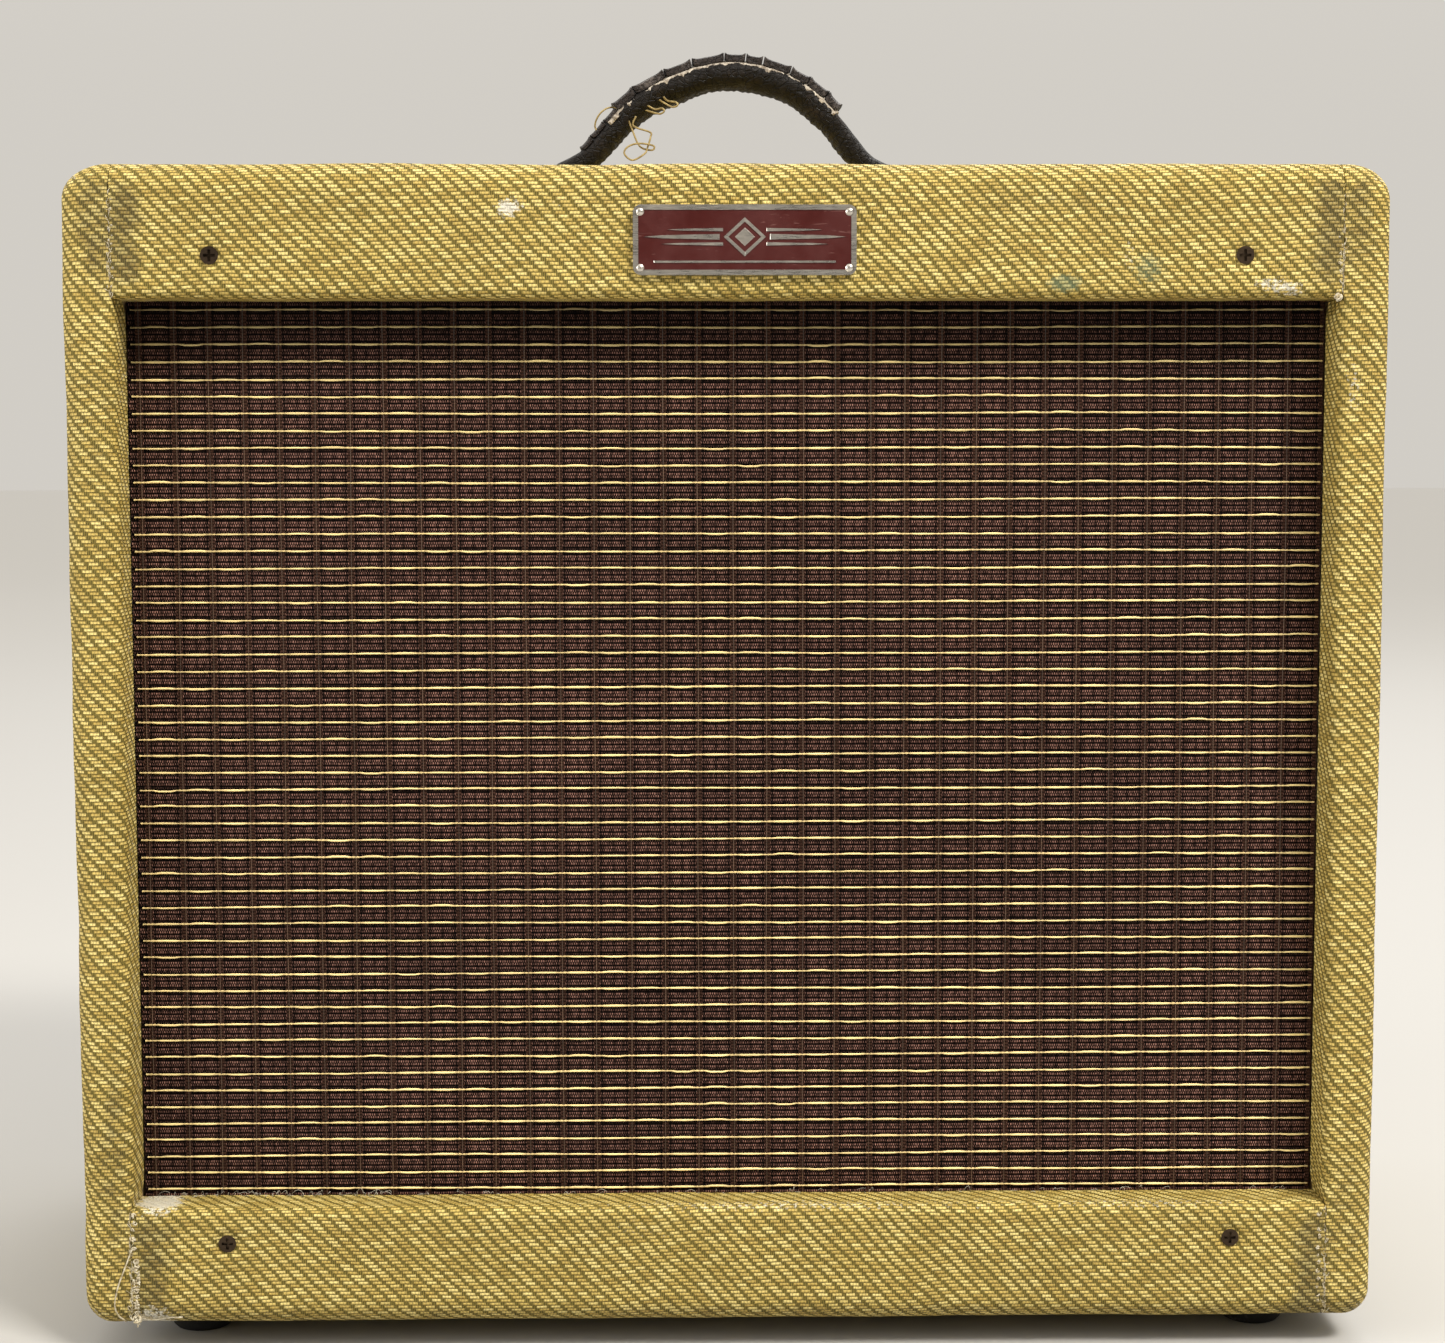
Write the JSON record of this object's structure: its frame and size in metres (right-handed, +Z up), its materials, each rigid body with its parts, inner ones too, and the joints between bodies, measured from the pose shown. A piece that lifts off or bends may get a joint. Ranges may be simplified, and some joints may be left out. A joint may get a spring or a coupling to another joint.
{
  "type": "guitar amplifier",
  "caption": "Fabric-covered open-back valve combo amplifier with a loudspeaker behind a recessed woven grille, a top-rear control panel and a leather carry handle.",
  "frame": {"origin": "on the floor, at the centre of the bounding box's bottom face, which is the plane of the rubber feet's soles", "axes": "+Z up, +X to the right as seen from the front, and the grille faces -Y"},
  "size_m": [0.4572, 0.2354, 0.4667],
  "materials": {
    "pine": "bare planed pine",
    "plywood": "painted-black plywood edges, plain birch faces",
    "tweed": "diagonal yellow and brown woven tweed under worn lacquer",
    "grille_cloth": "woven dark oxblood cloth with gold cross threads",
    "black_screw": "black oxide cross-head screws",
    "zinc": "bright zinc plating",
    "nickel": "nickel plate, lightly tarnished",
    "enamel": "dark maroon enamel",
    "rubber": "matt black rubber",
    "frame_steel": "semi-gloss black paint",
    "gasket": "cork and rubber",
    "cone_paper": "pressed paper pulp, doped edge",
    "coil_former": "copper winding on a paper former",
    "spider_cloth": "resin-stiffened corrugated cloth",
    "ferrite": "dull grey ferrite",
    "fibre": "brown fibre board with tinned tags",
    "chassis_steel": "plain plated sheet steel",
    "panel_chrome": "bright chrome",
    "circuit": "tan circuit board with parts",
    "pot_metal": "plated cans and collars",
    "knob_black": "moulded black phenolic with a white line",
    "button_black": "moulded black",
    "jewel": "faceted red glass",
    "inlet_black": "moulded black nylon",
    "jack_nylon": "black nylon with plated nuts",
    "valve_glass": "clear glass",
    "socket_ceramic": "cream ceramic",
    "transformer": "varnished black laminations and wrapped winding",
    "tank_steel": "plain grey plated steel",
    "leather": "cracked dark brown stitched leather",
    "strip_steel": "spring steel"
  },
  "bodies": {
    "root": {"cabinet_side_left": "pine", "cabinet_side_right": "pine", "cabinet_top_board": "pine", "cabinet_bottom_board": "pine", "front_top_rail": "pine", "front_bottom_rail": "pine", "tweed_side_left": "tweed", "tweed_side_right": "tweed", "tweed_top": "tweed", "tweed_bottom": "tweed", "baffle_board": "plywood", "grille_cloth": "grille_cloth", "baffle_screws": "black_screw", "badge_plate": "nickel", "badge_enamel": "enamel", "badge_pins": "nickel", "rubber_feet": "rubber", "cabinet_screws": "zinc", "speaker_frame": "frame_steel", "speaker_gasket": "gasket", "speaker_screws": "black_screw", "speaker_magnet": "ferrite", "speaker_pole_plates": "zinc", "speaker_surround": "cone_paper", "speaker_spider": "spider_cloth", "speaker_terminals": "fibre", "chassis_pan": "chassis_steel", "control_panel": "panel_chrome", "circuit_board": "circuit", "control_bodies": "pot_metal", "panel_nuts": "nickel", "pilot_jewel": "jewel", "input_jack": "nickel", "power_valves": "valve_glass", "preamp_valves": "valve_glass", "valve_sockets": "socket_ceramic", "power_transformer": "transformer", "output_transformer": "transformer", "mains_inlet": "inlet_black", "chassis_fittings": "jack_nylon", "upper_back_panel": "tweed", "lower_back_panel": "tweed", "back_panel_screws": "nickel", "panel_cleats": "pine", "reverb_tank": "tank_steel", "handle_tongues": "leather", "handle_screws": "nickel"},
    "cone": {"speaker_cone": "cone_paper", "dust_cap": "cone_paper", "voice_coil": "coil_former"},
    "handle": {"handle_grip": "leather", "handle_core": "strip_steel"},
    "boost": {"boost_button": "button_black"},
    "toggle": {"power_toggle": "nickel"},
    "dial_volume": {"knob_volume": "knob_black"},
    "dial_treble": {"knob_treble": "knob_black"},
    "dial_bass": {"knob_bass": "knob_black"},
    "dial_middle": {"knob_middle": "knob_black"},
    "dial_master": {"knob_master": "knob_black"},
    "dial_reverb": {"knob_reverb": "knob_black"}
  },
  "joints": [
    {"name": "volume_turn", "type": "hinge", "parent": "root", "child": "dial_volume", "pos_m": [-0.125, 0.0747, 0.4084], "axis": [0, 0, 1], "range_deg": [-150, 150]},
    {"name": "treble_turn", "type": "hinge", "parent": "root", "child": "dial_treble", "pos_m": [-0.071, 0.0747, 0.4084], "axis": [0, 0, 1], "range_deg": [-150, 150]},
    {"name": "bass_turn", "type": "hinge", "parent": "root", "child": "dial_bass", "pos_m": [-0.029, 0.0747, 0.4084], "axis": [0, 0, 1], "range_deg": [-150, 150]},
    {"name": "middle_turn", "type": "hinge", "parent": "root", "child": "dial_middle", "pos_m": [0.013, 0.0747, 0.4084], "axis": [0, 0, 1], "range_deg": [-150, 150]},
    {"name": "master_turn", "type": "hinge", "parent": "root", "child": "dial_master", "pos_m": [0.055, 0.0747, 0.4084], "axis": [0, 0, 1], "range_deg": [-150, 150]},
    {"name": "reverb_turn", "type": "hinge", "parent": "root", "child": "dial_reverb", "pos_m": [0.097, 0.0747, 0.4084], "axis": [0, 0, 1], "range_deg": [-150, 150]},
    {"name": "boost_press", "type": "slide", "parent": "root", "child": "boost", "axis": [0, 0, -1], "range_m": [0, 0.0025], "stiffness_N_per_m": 400, "springref_m": -0.0005},
    {"name": "power_flip", "type": "hinge", "parent": "root", "child": "toggle", "pos_m": [0.167, 0.0747, 0.4114], "axis": [1, 0, 0], "range_deg": [-24, 0]},
    {"name": "cone_stroke", "type": "slide", "parent": "root", "child": "cone", "axis": [0, -1, 0], "range_m": [-0.002, 0.002], "stiffness_N_per_m": 4000, "deforming": ["speaker_surround", "speaker_spider"]},
    {"name": "handle_tilt", "type": "hinge", "parent": "root", "child": "handle", "pos_m": [0, -0.0273, 0.4184], "axis": [1, 0, 0], "range_deg": [-12, 12], "stiffness_Nm_per_rad": 0.6, "deforming": ["handle_tongues"]}
  ]
}
